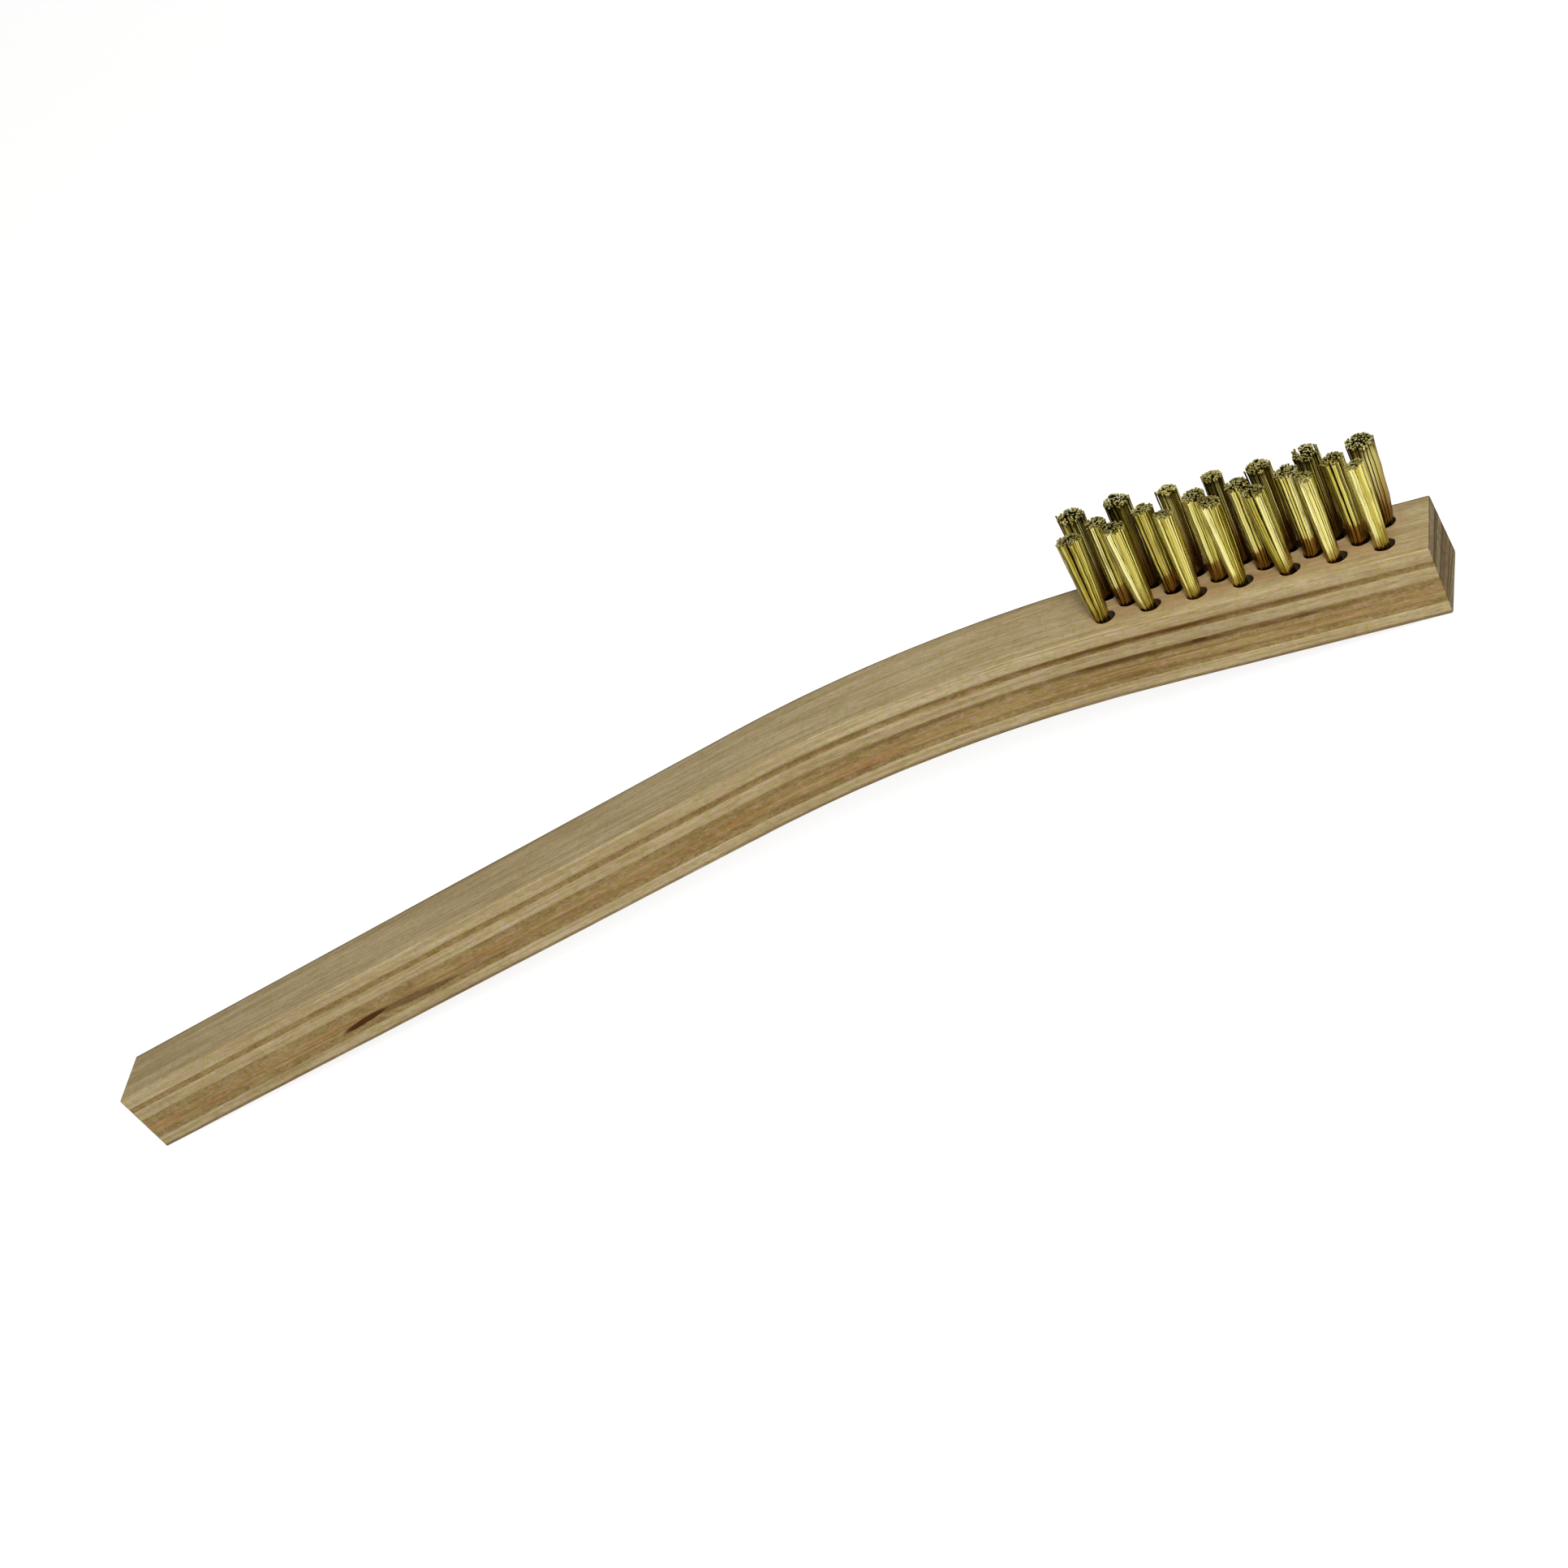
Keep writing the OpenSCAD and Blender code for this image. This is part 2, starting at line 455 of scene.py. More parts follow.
# How strong those lines are along the handle: distance past the start of the bend, strength
GLUE_ALONG = [
    (-33, 0.2),
    (-26, 0.3),
    (-20, 0.58),
    (-8, 1.0),
    (8, 1.0),
    (18, 0.5),
    (60, 0.26),
    (110, 0.12),
    (158, 0.0),
]
# Marks on the near side: distance along the handle, depth, half length, half height, tilt, strength
STAINS = [
    (120.6, 6.30, 4.6, 0.50, 0.070, 1.0),
    (112.5, 6.45, 8.5, 0.62, -0.045, 0.62),
    (101.0, 6.50, 9.0, 0.60, 0.0, 0.28),
    (-4.5, 4.30, 1.3, 0.28, 0.0, 0.9),
    (6.0, 4.25, 6.5, 0.22, 0.0, 0.5),
    (-17.0, 4.55, 2.0, 0.25, 0.0, 0.45),
    (88.0, 6.3, 10.0, 0.5, 0.0, 0.2),
    (47.0, 7.1, 14.0, 0.5, 0.0, 0.16),
    (1.0, 3.4, 19.0, 2.1, 0.0, 0.13),
    (30.0, 4.4, 12.0, 0.3, 0.0, 0.3),
]


class Veneer(Shader):
    """Wood of one veneer between two depths, painted in layers from the bare wood to the marks on it.

    s, y and depth are distances along the handle, across it and below the bristle face, and at_end is 1 on
    the two end faces.
    """

    def __init__(self, index, d0, d1):
        super().__init__(f"wood_{index + 1}")
        self.index, self.d0, self.d1 = index, d0, d1
        self.grain = self.attribute("grain", "Vector")
        self.s, self.y, self.depth = self.node("ShaderNodeSeparateXYZ", {"Vector": self.grain}).outputs
        self.patterns = {}
        past_tip = self.math("SUBTRACT", S_TIP, self.s)
        past_tail = self.math("SUBTRACT", self.s, S_TAIL)
        self.at_end = self.span(self.math("MAXIMUM", past_tip, past_tail), -0.09, -0.04)

    def pattern(self, name):
        """One of the noise patterns above, made when it is first asked for."""
        if name not in self.patterns:
            a, b, c, *looks = FIBRE_NOISES.get(name) or BOARD_NOISES[name]
            across = name in FIBRE_NOISES and self.index % 2
            scale = (b * CROSS_STRETCH, a, c) if across else (a, b, c)
            self.patterns[name] = self.noise(self.grain, scale, *looks)
        return self.patterns[name]

    def bare_wood(self):
        dark, mid, light = PLY_TONES[self.index]
        streaks = self.weighted(self.pattern("broad"), 0.55, self.pattern("fibre"), 0.45)
        streaks = self.weighted(streaks, 0.85, self.pattern("mottle"), 0.15)
        colour = self.ramp(streaks, [(0.36, dark), (0.5, mid), (0.64, light)])
        layers = [
            ("rings", 0.52, 0.66, 0.50, dark),
            ("rings", 0.44, 0.34, 0.35, light),
            ("hair", 0.35, 0.75, 0.35, dark),
            ("pores", 0.60, 0.74, 0.70, dark),
            ("saw", 0.55, 0.75, 0.25, light),
            ("tint", 0.54, 0.70, 0.22, PINK_PATCH),
            ("tint", 0.46, 0.32, 0.20, GREEN_PATCH),
            ("blotch", 0.52, 0.66, 0.36, PINK_BLOTCH),
            ("blotch", 0.48, 0.34, 0.36, GREEN_BLOTCH),
        ]
        for name, start, full, strength, tone in layers:
            colour = self.stain(colour, self.pattern(name), start, full, strength, tone)
        flecks = [(0.38, (0.97, 1.0, 0.76, 1.0)), (0.62, (1.03, 0.98, 1.20, 1.0))]
        return self.mix(1.0, colour, self.ramp(self.pattern("fleck"), flecks), "MULTIPLY")

    def end_grain(self, colour):
        patchy = self.span(self.pattern("end_patch"), 0.3, 0.7, 0.25, 0.8)
        return self.mix(self.times(self.at_end, patchy), colour, END_GRAIN)

    def glue_and_edge_shade_lines(self, colour):
        """Dark glue lines between the veneers, fading along the grip but not on the end faces, and a line of
        painted shade along the rounded back edge that does not fade.
        """
        broken = self.pattern("broken")
        wobble = self.times(self.math("SUBTRACT", broken, 0.5), 0.45)
        position = self.math("DIVIDE", self.math("SUBTRACT", self.s, S_TIP), S_TAIL - S_TIP)
        stops = [((s - S_TIP) / (S_TAIL - S_TIP), (v, v, v, 1.0)) for s, v in GLUE_ALONG]
        fading = self.math("MAXIMUM", self.ramp(position, stops), self.times(self.at_end, 0.9))
        for centre, reach, amount in GLUE_AND_EDGE_SHADE_LINES:
            if centre + reach < self.d0 or centre - reach > self.d1:
                continue
            away = self.away(self.math("ADD", self.depth, wobble), centre)
            line = self.span(away, reach, reach * 0.15, 0.0, amount)
            # Only the glue lines fade along the grip; the painted shade on the back edge does not
            if centre < BACK_EDGE_SHADE_DEPTH:
                line = self.times(line, fading)
            line = self.times(line, self.span(broken, 0.66, 0.46, 0.7, 1.0))
            colour = self.mix(line, colour, GLUE_AND_EDGE_SHADE)
        return colour

    def end_seams(self, colour):
        for seam in (self.d0, self.d1):
            line = self.span(self.away(self.depth, seam), 0.26, 0.06, 0.0, 0.75)
            colour = self.mix(self.times(self.at_end, line), colour, END_SEAM)
        return colour

    def warm_patches(self, colour):
        """Reddish patches on the grip."""
        warm = self.span(self.pattern("warm"), 0.50, 0.66, 0.0, 0.34)
        return self.mix(self.times(warm, self.span(self.s, 20.0, 45.0)), colour, WARM_PATCH)

    def face_darkening(self, colour):
        """Browner wood between the tufts, and painted shade along the far side of the bristle face: a band
        and a rim.
        """
        field = self.span(self.math("ABSOLUTE", self.y), 4.4, 2.6, 0.0, 0.35)
        field = self.times(field, self.span(self.s, 9.0, 3.0))
        field = self.times(field, self.span(self.s, -31.0, -27.0))
        colour = self.mix(field, colour, BROWNER_FIELD)
        # Painted shade: a soft band and a darker rim along the far edge of the bristle face
        narrowing = self.times(self.math("MAXIMUM", self.s, 0.0), TAPER)
        inboard = self.math("SUBTRACT", self.math("SUBTRACT", HALF_HEAD, narrowing), self.y)
        on_face = self.span(self.depth, 0.22, 0.06)
        shade = self.times(on_face, self.span(inboard, 2.6, 0.4, 0.0, 0.16))
        colour = self.mix(shade, colour, FAR_SHADE)
        rim = self.times(on_face, self.span(inboard, 0.50, 0.14, 0.0, 0.7))
        return self.mix(rim, colour, FAR_RIM_SHADE)

    def hole_shade(self, colour):
        """Painted shade in the drilled holes: darkens everything that isn't a side, an end or the bristle
        face.
        """
        inside = self.span(self.math("ABSOLUTE", self.y), 4.5, 4.3)
        if self.index == 0:
            inside = self.times(inside, self.span(self.depth, 0.06, 0.25))
        inside = self.times(inside, self.span(self.s, S_TIP + 1.5, S_TIP + 2.0))
        inside = self.times(inside, self.span(self.s, 9.0, 8.0))
        return self.mix(self.times(inside, 0.9), colour, HOLE_SHADE)

    def stains(self, colour):
        """Knot streak and dirt on the near side."""
        near_side = self.math("LESS_THAN", self.y, -2.0)
        wobble = self.times(self.math("SUBTRACT", self.pattern("fibre"), 0.5), 0.35)
        for s0, depth0, half_long, half_high, tilt, strength in STAINS:
            if depth0 + half_high * 1.5 < self.d0 or depth0 - half_high * 1.5 > self.d1:
                continue
            along = self.math("SUBTRACT", self.s, s0)
            down = self.math("SUBTRACT", self.math("ADD", self.depth, wobble), depth0)
            down = self.math("SUBTRACT", down, self.times(along, tilt))
            along = self.math("DIVIDE", along, half_long)
            down = self.math("DIVIDE", down, half_high)
            reach = self.math("ADD", self.times(along, along), self.times(down, down))
            mask = self.times(self.span(reach, 1.0, 0.35, 0.0, strength), near_side)
            colour = self.mix(mask, colour, KNOT)
        return colour

    def relief(self):
        height = self.weighted(self.pattern("fibre"), 0.6, self.pattern("hair"), 0.4)
        height = self.math("SUBTRACT", height, self.span(self.pattern("pores"), 0.62, 0.74, 0.0, 0.8))
        return self.bump(self.pattern("saw"), 0.25, 0.05, self.bump(height, 0.5, 0.04))


def wood_material(index, d0, d1):
    m = Veneer(index, d0, d1)
    colour = m.end_seams(m.glue_and_edge_shade_lines(m.end_grain(m.bare_wood())))
    if PLY_TONES[index] is BROWN_WOOD:
        colour = m.warm_patches(colour)
    if index == 0:
        colour = m.face_darkening(colour)
    if d0 < HOLE_DEPTH + HOLE_POINT:
        colour = m.hole_shade(colour)
    colour = m.stains(colour)
    rough = m.span(m.pattern("broad"), 0.2, 0.8, 0.58, 0.78)
    return m.surface(Base_Color=colour, Roughness=rough, Normal=m.relief(), Specular_IOR_Level=0.1)


# ---------------------------------------------------------------- brass
def brass_material():
    """Sides of the wires: bright and dark drawn streaks, and brown painted shade in crevices and low down.
    """
    m = Shader("brass_wire")
    tone = m.attribute("wire_tone")
    values = {"X": m.times(tone, 57.0), "Y": m.attribute("wire_up")}
    drawn = m.noise(m.node("ShaderNodeCombineXYZ", values).outputs[0], (1.0, 0.6, 1.0), 2.0, 0.6)
    patch = m.noise(m.place(), (900.0, 900.0, 220.0), 3.0, 0.6)
    stops = [(0.12, (100, 82, 20)), (0.33, (180, 164, 62)), (0.55, (232, 220, 122)), (0.80, (246, 238, 166))]
    colour = m.ramp(tone, [(x, srgb(*c)) for x, c in stops])
    colour = m.stain(colour, patch, 0.54, 0.70, 0.55, srgb(132, 110, 30))
    colour = m.stain(colour, drawn, 0.45, 0.8, 0.3, srgb(230, 220, 142))
    # Painted shade: browner and darker where other wires and tufts stand close around
    openness = m.openness(3.0)
    # Painted shade on the rows further back: none on the near row, some on the mid row, most on the far row
    brown = m.attribute("wire_row_shade")
    colour = m.stain(colour, brown, 0.6, 1.0, 0.35, srgb(112, 84, 28))
    colour = m.stain(colour, openness, 0.50, 0.04, 0.90, srgb(72, 44, 14))
    # Painted shade at the foot of each tuft, browner and reaching higher on the rows further back
    foot_shade = m.span(m.attribute("wire_above_foot_shade"), 0.5, -0.5, 0.0, 0.9)
    colour = m.mix(foot_shade, colour, m.mix(brown, srgb(182, 140, 62), srgb(140, 104, 52)))
    # Painted deep shade low down on the rows further back, where little is open around the wires
    back_row_shade = m.times(brown, m.span(openness, 0.60, 0.15, 0.0, 0.85))
    reach = m.math("MAXIMUM", foot_shade, m.span(brown, 0.6, 1.0, 0.0, 0.5))
    colour = m.mix(m.times(back_row_shade, reach), colour, srgb(44, 28, 12))
    # Painted shade in a dark band just under the overhanging cut ends, mostly on the far row
    colour = m.mix(m.attribute("wire_dome_shade"), colour, srgb(16, 11, 5))
    # Each wire is lit partly as a round wire and partly as a strand of its clump and its tuft
    facing = m.node("ShaderNodeNewGeometry", {}).outputs["Normal"]
    facing = m.vector("NORMALIZE", m.vector("ADD", facing, m.attribute("wire_out", "Vector")))
    normal = m.bump(drawn, 0.2, 0.01, facing)
    rough = m.span(patch, 0.3, 0.75, 0.20, 0.40)
    return m.surface(Base_Color=colour, Metallic=1.0, Roughness=rough, Normal=normal)


def cut_end_material():
    """Cut ends of the wires: a speckle of bright and dull facets."""
    m = Shader("brass_cut_end")
    speckle = m.noise(m.place(), (2600.0, 2600.0, 2600.0), 1.0, 0.5)
    broad = m.noise(m.place(), (700.0, 700.0, 700.0), 1.0, 0.5)
    stops = [(0.36, (120, 108, 48)), (0.50, (184, 174, 92)), (0.64, (246, 240, 176))]
    colour = m.ramp(m.weighted(speckle, 0.6, broad, 0.4), [(x, srgb(*c)) for x, c in stops])
    colour = m.mix(m.attribute("wire_end_darkening"), colour, srgb(84, 72, 26))
    rough = m.span(speckle, 0.3, 0.7, 0.55, 0.4)
    return m.surface(Base_Color=colour, Metallic=0.35, Roughness=rough, Normal=m.bump(speckle, 0.6, 0.03))


def steel_material():
    m = Shader("anchor_wire")
    lines = m.noise(m.place(), (600.0, 9000.0, 9000.0), 3.0, 0.6)
    colour = m.ramp(lines, [(0.3, srgb(120, 120, 122)), (0.7, srgb(176, 177, 180))])
    rough = m.span(lines, 0.3, 0.7, 0.3, 0.5)
    return m.surface(Base_Color=colour, Metallic=1.0, Roughness=rough, Normal=m.bump(lines, 0.3, 0.01))


# ---------------------------------------------------------------- tufts
WIRE_RADIUS = 0.10
WIRES = 34
WIRE_SIDES = 6
BUNDLE_RADIUS = 0.80
BUNDLE_SEAT = np.array([-0.32, -0.06])  # the wires stand to one side of their hole
NARROWED_AT = 1.6  # depth at which the wires have come back towards the middle of their hole
LOWEST_STRAIGHT = 0.9  # height above the foot of the anchor from which they go straight up
FOLD_THICKNESS = 0.5  # of the wires under the anchor
TRIM = 0.1  # how far the wires end below the top of their tuft
# Points along a wire's leg above the wood, as shares of its length
LEG_STEPS = (0.0, 0.04, 0.1, 0.18, 0.28, 0.4, 0.52, 0.64, 0.76, 0.87, 0.94, 0.97, 0.99, 1.0)
BURR = (1.4, 1.25)  # how much wider the cutters left each wire at its end and just under it
CLUMPS = 11
CLUMP_TIGHTNESS = 0.82
CLUMP_RADIUS = 0.30  # as a share of the bundle
CLUMP_JITTER, WIRE_JITTER = 0.05, 0.02
# Shares of a wire's tone that come from its clump, from its place in the clump (painted light and shade:
# brighter in the clump's middle, darker at its edge) and from the wire itself
TONE_OF_CLUMP, LIGHT_AND_SHADE_OF_PLACE, TONE_OF_WIRE = 0.60, 0.26, 0.14
# How much a wire is lit as part of the whole tuft and of its clump, against 1 for its own roundness
TUFT_ROUNDING = 1.5
CLUMP_ROUNDING = 0.8
STRAY_CHANCE = 0.015
BAND_DEPTH, BAND_REACH = 0.40, 0.28  # of the painted shade: a dark band below the overhanging cut ends
WIRE_SHARP_ANGLE = 50
FIRST_SEED, SEED_STEP = 4100, 17
# Width across the cut ends of each tuft and its lean along the handle, in mm, in the order of the rows
TOP_WIDTHS = {
    "near": (3.4, 3.2, 2.7, 2.9, 3.0, 2.4, 2.4),
    "mid": (2.9, 2.9, 3.1, 3.1, 3.3, 3.1),
    "far": (3.6, 3.5, 2.5, 2.8, 3.1, 3.4, 3.6),
}
LEANS = {
    "near": (0.1, -0.3, 0.2, 0.1, -0.3, 0.1, 0.3),
    "mid": (0.3, 0.3, 0.8, 0.4, 0.7, 0.5),
    "far": (0.0, 0.0, 0.5, 0.4, 0.2, 0.2, 0.8),
}
# How much longer or shorter each tuft of the far row is than the row's extra height
FAR_RISES = (0.0, 0.3, 0.05, 0.25, 0.05, 0.1, -0.35)

# Per row: how early the wires spread (lower is earlier), height of the brown zone of painted shade at the
# foot of the tufts, softness of its upper end, how deep the row's painted shade is (more on the rows further
# back), strength of the painted shade in a dark band under the overhanging cut ends, darkening of the cut
# ends, doming of the top, extra height
Row = namedtuple("Row", "spread brown_height brown_soft brown band dull doming taller")
ROWS = {
    "near": Row(0.60, 0.28, 0.30, 0.0, 0.0, 0.35, 0.18, 0.0),
    "mid": Row(0.25, 2.70, 0.35, 0.5, 0.1, 0.30, 0.22, 0.05),
    "far": Row(0.32, 6.00, 7.00, 1.0, 0.95, 0.0, 0.30, 0.40),
}
# Wires that keep together: where they stand in the bundle, how the cutters pushed and raised their ends,
# their tone, the height of the painted shade at their foot, and how they bow and waver
Clump = namedtuple("Clump", "centre push bow phase wave rise tone brown")
OWN_ROUNDNESS = (0.0, 0.0, 0.0)  # lighting direction of a point that is lit as a round wire only


def jitter(rng, size):
    return np.array([rng.gauss(0, size), rng.gauss(0, size)])


def offset(rng, low, high):
    return np.array([rng.uniform(low, high), rng.uniform(low, high)])


def disc_points(count, radius):
    """Evenly packed points in a disc."""
    golden = math.pi * (3 - math.sqrt(5))
    k = np.arange(count)
    r = radius * np.sqrt((k + 0.5) / count)
    return np.stack([r * np.cos(k * golden), r * np.sin(k * golden)], 1)


def make_clumps(rng, brown_height):
    clumps = []
    for point in disc_points(CLUMPS, BUNDLE_RADIUS * 0.94):
        centre = point + jitter(rng, CLUMP_JITTER)
        push, bow = jitter(rng, CLUMP_JITTER), jitter(rng, CLUMP_JITTER)
        phase, wave = rng.uniform(0, 6.28), rng.uniform(0.01, 0.04)
        rise, tone = rng.gauss(0, 0.04), rng.uniform(0.2, 1.0)
        clumps.append(Clump(centre, push, bow, phase, wave, rise, tone, brown_height + rng.gauss(0, 0.18)))
    return clumps


class Bundle:
    """The wires of one tuft, folded in half around an anchor, in mm."""

    def __init__(self, rng, hole, anchor_low, height, top_width, lean, row):
        self.rng, self.hole, self.anchor_low, self.height, self.row = rng, hole, anchor_low, height, row
        self.lean = np.array([lean, rng.uniform(-0.1, 0.2)])
        self.slope = offset(rng, -0.15, 0.15)
        self.seat = BUNDLE_SEAT + offset(rng, -0.06, 0.06)
        self.flare = (top_width / 2 - WIRE_RADIUS) / BUNDLE_RADIUS
        self.clumps = make_clumps(rng, row.brown_height)

    def cut_end(self, root, clump):
        """Where the end of a leg stands: its place across the tuft and its height above the wood."""
        rng = self.rng
        top = (clump.centre + (root - clump.centre) * CLUMP_TIGHTNESS) * self.flare + self.lean + clump.push
        top = top + jitter(rng, WIRE_JITTER)
        if rng.random() < STRAY_CHANCE:
            top = top + root / (np.linalg.norm(root) + 0.2) * rng.uniform(0.15, 0.5)
        doming = self.row.doming * (np.linalg.norm(root) / BUNDLE_RADIUS) ** 3
        height = self.height - TRIM + self.slope @ root / BUNDLE_RADIUS + clump.rise - doming
        return top, height + rng.gauss(0, 0.03)

    def buried(self, root, side):
        """Points of a leg inside its hole, down to the anchor."""
        x = self.hole[0] + self.seat[0] * 0.5 + root[0] * 0.94
        y = self.hole[1] + root[1] * 0.92 + side * 0.05
        return [(x, y, FACE_Z - NARROWED_AT), (x, y, self.anchor_low + LOWEST_STRAIGHT)]

    def leg(self, px, py, side):
        """Half a wire from its cut end down: points, lighting directions, root, (tone, foot shade height).
        """
        root = np.array([px, side * py]) + jitter(self.rng, WIRE_JITTER)
        clump = min(self.clumps, key=lambda c: float(np.sum((c.centre - root) ** 2)))
        top, reach = self.cut_end(root, clump)
        clump_top = clump.centre * self.flare + self.lean + clump.push
        points, outs = [], []
        for t in LEG_STEPS:
            u = t**self.row.spread
            xy = root * (1 - u) + top * u
            width = BUNDLE_RADIUS * (1 - u + self.flare * u)
            from_clump = xy - clump.centre * (1 - u) - clump_top * u
            out = (xy - self.lean * u) / width * TUFT_ROUNDING
            out = out + from_clump / (CLUMP_RADIUS * width) * CLUMP_ROUNDING
            outs.append((out[0], out[1], 0.0))
            xy = xy + clump.bow * math.sin(math.pi * t) + self.hole + self.seat
            crimp = clump.wave * math.sin(clump.phase + t * reach * 1.7)
            points.append((xy[0] + crimp, xy[1] - crimp, FACE_Z + t * reach))
        below = self.buried(root, side)
        off_centre = min(1.0, float(np.linalg.norm(root - clump.centre)) / (CLUMP_RADIUS * BUNDLE_RADIUS))
        # Painted light and shade: brighter in the middle of a clump, darker at its edge, where the crevices
        # are
        tone = TONE_OF_CLUMP * clump.tone + LIGHT_AND_SHADE_OF_PLACE * (1 - off_centre)
        tone = tone + TONE_OF_WIRE * self.rng.random()
        return points[::-1] + below, outs[::-1] + [OWN_ROUNDNESS] * len(below), root, (tone, clump.brown)

    def fold(self, a, b, py):
        """Points where a wire passes under the anchor, from the leg rooted at a to the one at b."""
        cx, cy = self.hole
        low = self.anchor_low - 0.1 - 0.22 * (py / BUNDLE_RADIUS)
        return [
            (cx + a[0] * 0.9, cy + a[1] * 0.75, low),
            (cx + (a[0] + b[0]) * 0.45, cy, low - 0.08),
            (cx + b[0] * 0.9, cy + b[1] * 0.75, low),
        ]

    def wires(self):
        """Centre lines and lighting directions by (wire, point, xyz), and looks by (wire, leg, look)."""
        half = disc_points(WIRES * 2, BUNDLE_RADIUS)
        half = half[np.argsort(-half[:, 1])][:WIRES]
        lines, outs, looks = [], [], []
        for px, py in half:
            down, down_outs, a, down_look = self.leg(px, py, 1)
            up, up_outs, b, up_look = self.leg(px, py, -1)
            fold = self.fold(a, b, py)
            lines.append(down + fold + up[::-1])
            outs.append(down_outs + [OWN_ROUNDNESS] * len(fold) + up_outs[::-1])
            looks.append((down_look, up_look))
        return np.array(lines), np.array(outs), np.array(looks)


def tubes(lines, radius, sides):
    """Vertices and faces of round wires along the given centre lines."""
    tangent = np.gradient(lines, axis=1)
    tangent /= np.linalg.norm(tangent, axis=2, keepdims=True)
    ref = np.array([1.0, 0.0, 0.0])
    n1 = ref - tangent * (tangent @ ref)[..., None]
    n1 /= np.linalg.norm(n1, axis=2, keepdims=True)
    n2 = np.cross(tangent, n1)
    count, length = lines.shape[:2]
    radii = np.full((length, 1), radius)
    radii[[0, -1]] *= BURR[0]
    radii[[1, -2]] *= BURR[1]
    rings = []
    for k in range(sides):
        a = 2 * math.pi * k / sides
        rings.append(lines + radii * (math.cos(a) * n1 + math.sin(a) * n2))
    verts = np.stack(rings, 2).reshape(-1, 3)
    faces = []
    for start in range(0, count * length * sides, length * sides):
        end = start + (length - 1) * sides
        faces += ring_faces(start, length, sides)
        faces.append(tuple(start + k for k in range(sides - 1, -1, -1)))
        faces.append(tuple(end + k for k in range(sides)))
    return verts, faces


def paint_wires(obj, row, lines, outs, looks):
    """Writes what the brass materials need to know at every point of every wire."""
    length = lines.shape[1]
    first = (np.arange(length) < length // 2)[None, :]
    tones, browns = (np.where(first, looks[:, :1, k], looks[:, 1:, k]) for k in (0, 1))
    below_end = np.where(first, lines[:, :1, 2], lines[:, -1:, 2]) - lines[:, :, 2]
    up = lines[:, :, 2] - FACE_Z
    per_point = {
        "wire_tone": tones,
        "wire_up": up,
        "wire_above_foot_shade": (up - browns) / row.brown_soft,
        "wire_dome_shade": row.band * np.exp(-(((below_end - BAND_DEPTH) / BAND_REACH) ** 2)),
        "wire_end_darkening": np.full(up.shape, row.dull),
        "wire_row_shade": np.full(up.shape, row.brown),
    }
    for label, values in per_point.items():
        point_attribute(obj, label, "FLOAT", np.repeat(values.ravel(), WIRE_SIDES))
    point_attribute(obj, "wire_out", "FLOAT_VECTOR", np.repeat(outs.reshape(-1, 3), WIRE_SIDES, 0))


def build_tuft(number, name, materials):
    """Builds one tuft and returns the centre of its hole."""
    low, high = (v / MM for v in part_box(name))
    hole = np.array([(low.x + high.x) / 2, (low.y + high.y) / 2])
    row_name, place = name.split("_")[1], int(name.split("_")[2]) - 1
    row = ROWS[row_name]
    taller = row.taller + (FAR_RISES[place] if row_name == "far" else 0.0)
    rng = random.Random(FIRST_SEED + number * SEED_STEP)
    height = high.z - FACE_Z + taller
    top_width, lean = TOP_WIDTHS[row_name][place], LEANS[row_name][place]
    bundle = Bundle(rng, hole, low.z + FOLD_THICKNESS, height, top_width, lean, row)
    lines, outs, looks = bundle.wires()
    verts, faces = tubes(lines, WIRE_RADIUS, WIRE_SIDES)
    obj = new_object(name.replace("tuft", "wires"), verts, faces)
    paint_wires(obj, row, lines, outs, looks)
    smooth(obj, WIRE_SHARP_ANGLE)
    for material in materials:
        obj.data.materials.append(material)
    per_wire = len(faces) // len(lines)
    for wire_end in range(per_wire, len(faces) + 1, per_wire):
        for cap in (1, 2):
            obj.data.polygons[wire_end - cap].material_index = 1
    finish_piece(obj, name)
    return hole


def build_veneer(index, d0, d1, cutter):
    obj = build_ply(index, d0, d1)
    if d0 < HOLE_DEPTH + HOLE_POINT:
        cut(obj, cutter)
    co = np.zeros(len(obj.data.vertices) * 3, np.float32)
    obj.data.vertices.foreach_get("co", co)
    point_attribute(obj, "grain", "FLOAT_VECTOR", grain_coords(co.reshape(-1, 3).astype(float) / MM))
    smooth(obj)
    obj.data.materials.append(wood_material(index, d0, d1))
    finish_piece(obj, PLY_NODES[index])


wire_materials = [brass_material(), cut_end_material()]
cutter = hole_cutter([build_tuft(i, name, wire_materials) for i, name in enumerate(TUFT_NODES)])
for i, (d0, d1) in enumerate(ply_depths()):
    build_veneer(i, d0, d1, cutter)
bpy.data.objects.remove(cutter)

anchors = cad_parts["tuft_anchors"]
anchors.data.materials.clear()
anchors.data.materials.append(steel_material())

# ---------------------------------------------------------------- stage, in m
FLOOR_HALF = 1.6
FLOOR_GAP = 0.0001
FLOOR_GLOW = 0.84
WORLD_COLOUR, WORLD_STRENGTH = (1.0, 0.985, 0.95, 1.0), 0.3


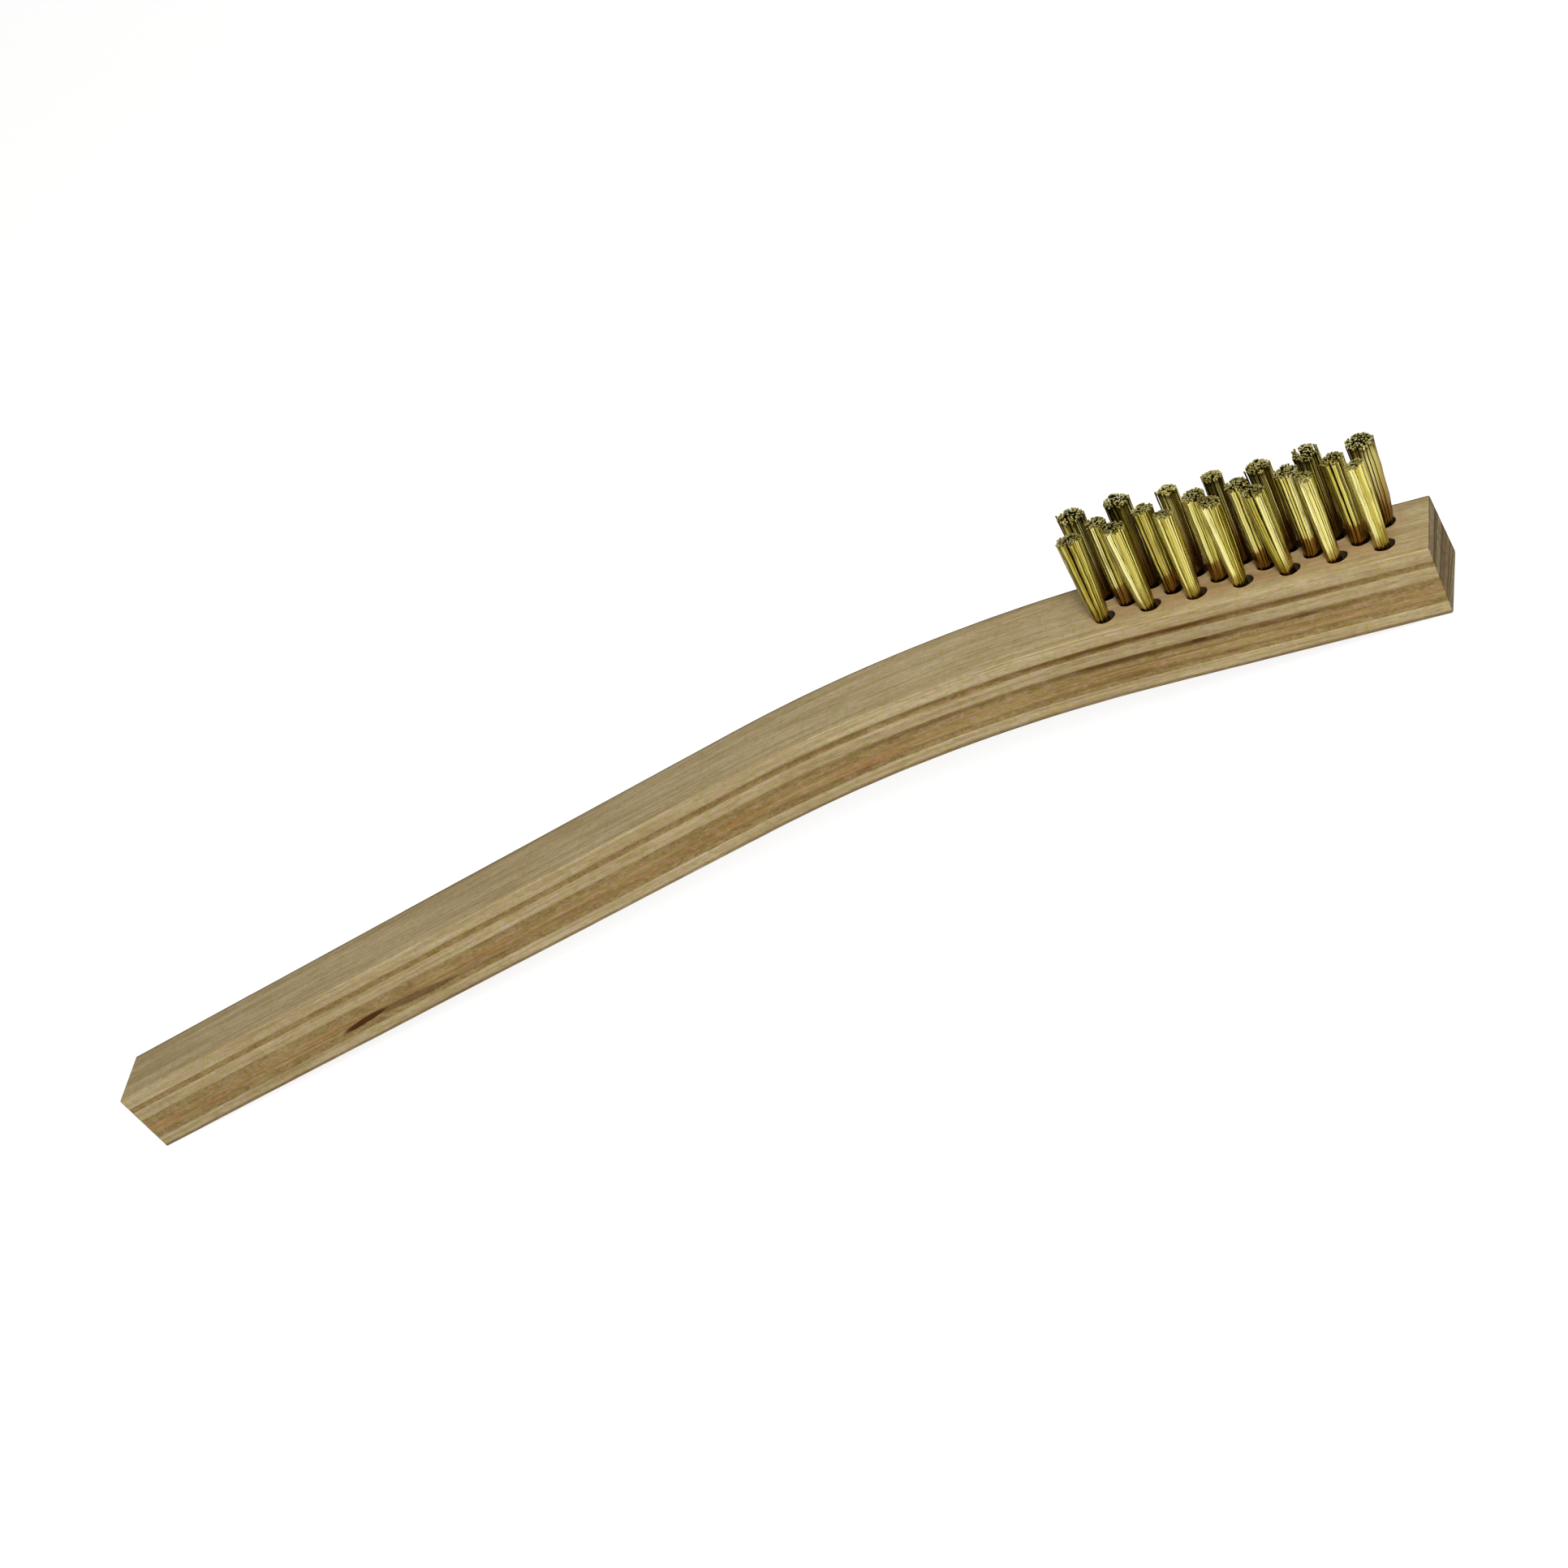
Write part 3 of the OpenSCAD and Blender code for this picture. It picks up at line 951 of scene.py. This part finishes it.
def floor_material():
    """Pale paper on a light table: it glows for the camera and in the brass, so the shadow stays faint."""
    m = Shader("floor")
    soft = m.noise(m.place(), (3.0, 3.0, 3.0), 2.0)
    colour = m.ramp(soft, [(0.3, (0.30, 0.30, 0.30, 1)), (0.7, (0.33, 0.33, 0.33, 1))])
    paint = m.node("ShaderNodeBsdfDiffuse", {"Color": colour}).outputs[0]
    seen = m.math("SUBTRACT", 1.0, m.node("ShaderNodeLightPath", {}).outputs["Is Diffuse Ray"])
    glow = m.node("ShaderNodeEmission", {"Strength": m.times(seen, FLOOR_GLOW)}).outputs[0]
    lit = m.node("ShaderNodeAddShader", {0: paint, 1: glow}).outputs[0]
    clear = m.node("ShaderNodeBsdfTransparent", {}).outputs[0]
    back = m.node("ShaderNodeNewGeometry", {}).outputs["Backfacing"]
    mixed = m.node("ShaderNodeMixShader", {0: back, 1: lit, 2: clear}).outputs[0]
    m.tree.links.new(mixed, m.out.inputs["Surface"])
    return m.material


def build_floor():
    """The brush lies on its back: the floor passes under the head's tip and the tail's end."""
    rest_a = Vector((TIP_X, 0, BACK_Z))
    x, z = on_path(S_TAIL, FACE_Z)
    rest_b = Vector((x, 0, z))
    along = (rest_a - rest_b).normalized()
    across = Vector((0, 1, 0))
    centre = (rest_a + rest_b) / 2 * MM - along.cross(across) * FLOOR_GAP
    signs = ((-1, -1), (1, -1), (1, 1), (-1, 1))
    corners = [centre + along * a * FLOOR_HALF + across * b * FLOOR_HALF for a, b in signs]
    mesh = bpy.data.meshes.new("floor")
    mesh.from_pydata([tuple(c) for c in corners], [], [(0, 1, 2, 3)])
    floor = bpy.data.objects.new("floor", mesh)
    bpy.context.scene.collection.objects.link(floor)
    mesh.materials.append(floor_material())


def direction(azimuth, elevation):
    """Unit vector at two angles in degrees: azimuth 0 is -Y and grows towards +X."""
    a, e = math.radians(azimuth), math.radians(elevation)
    return Vector((math.sin(a) * math.cos(e), -math.cos(a) * math.cos(e), math.sin(e)))


KEY_ANGLES = (24, 41)
KEY_DISTANCE = 1.1
KEY_AIM = Vector((-0.01, 0, 0.005))


def build_key_light():
    light = bpy.data.lights.new("key", "AREA")
    light.shape = "DISK"
    light.size = 0.45
    light.energy = 12.3
    light.color = (1.0, 0.99, 0.96)
    back = direction(*KEY_ANGLES)
    obj = bpy.data.objects.new("key", light)
    obj.location = KEY_AIM + back * KEY_DISTANCE
    obj.rotation_mode = "QUATERNION"
    obj.rotation_quaternion = (-back).to_track_quat("-Z", "Y")
    bpy.context.scene.collection.objects.link(obj)


def build_world():
    world = bpy.data.worlds.new("studio")
    world.use_nodes = True
    bpy.context.scene.world = world
    nodes = world.node_tree.nodes
    background = nodes.get("Background") or nodes.new("ShaderNodeBackground")
    background.inputs["Color"].default_value = WORLD_COLOUR
    background.inputs["Strength"].default_value = WORLD_STRENGTH


# ---------------------------------------------------------------- camera
CAMERA_AT = Vector((0.10241, -0.39022, 0.26658))
CAMERA_AZIMUTH, CAMERA_ELEVATION, CAMERA_ROLL = 22.954, 32.565, -26.928
CAMERA_LENS = 95.505


def build_camera():
    back = direction(CAMERA_AZIMUTH, CAMERA_ELEVATION)
    roll = math.radians(CAMERA_ROLL)
    right = (-back).cross(Vector((0, 0, 1))).normalized()
    up = right.cross(-back)
    rolled_right = right * math.cos(roll) + up * math.sin(roll)
    rolled_up = up * math.cos(roll) - right * math.sin(roll)
    data = bpy.data.cameras.new("camera")
    data.lens = CAMERA_LENS
    data.sensor_width = 36.0
    data.clip_start, data.clip_end = 0.01, 20.0
    camera = bpy.data.objects.new("camera", data)
    basis = Matrix((rolled_right, rolled_up, back)).transposed().to_4x4()
    camera.matrix_world = Matrix.Translation(CAMERA_AT) @ basis
    bpy.context.scene.collection.objects.link(camera)
    bpy.context.scene.camera = camera


build_floor()
build_key_light()
build_world()
build_camera()
bpy.context.scene.view_settings.view_transform = "Standard"
bpy.context.scene.view_settings.look = "None"
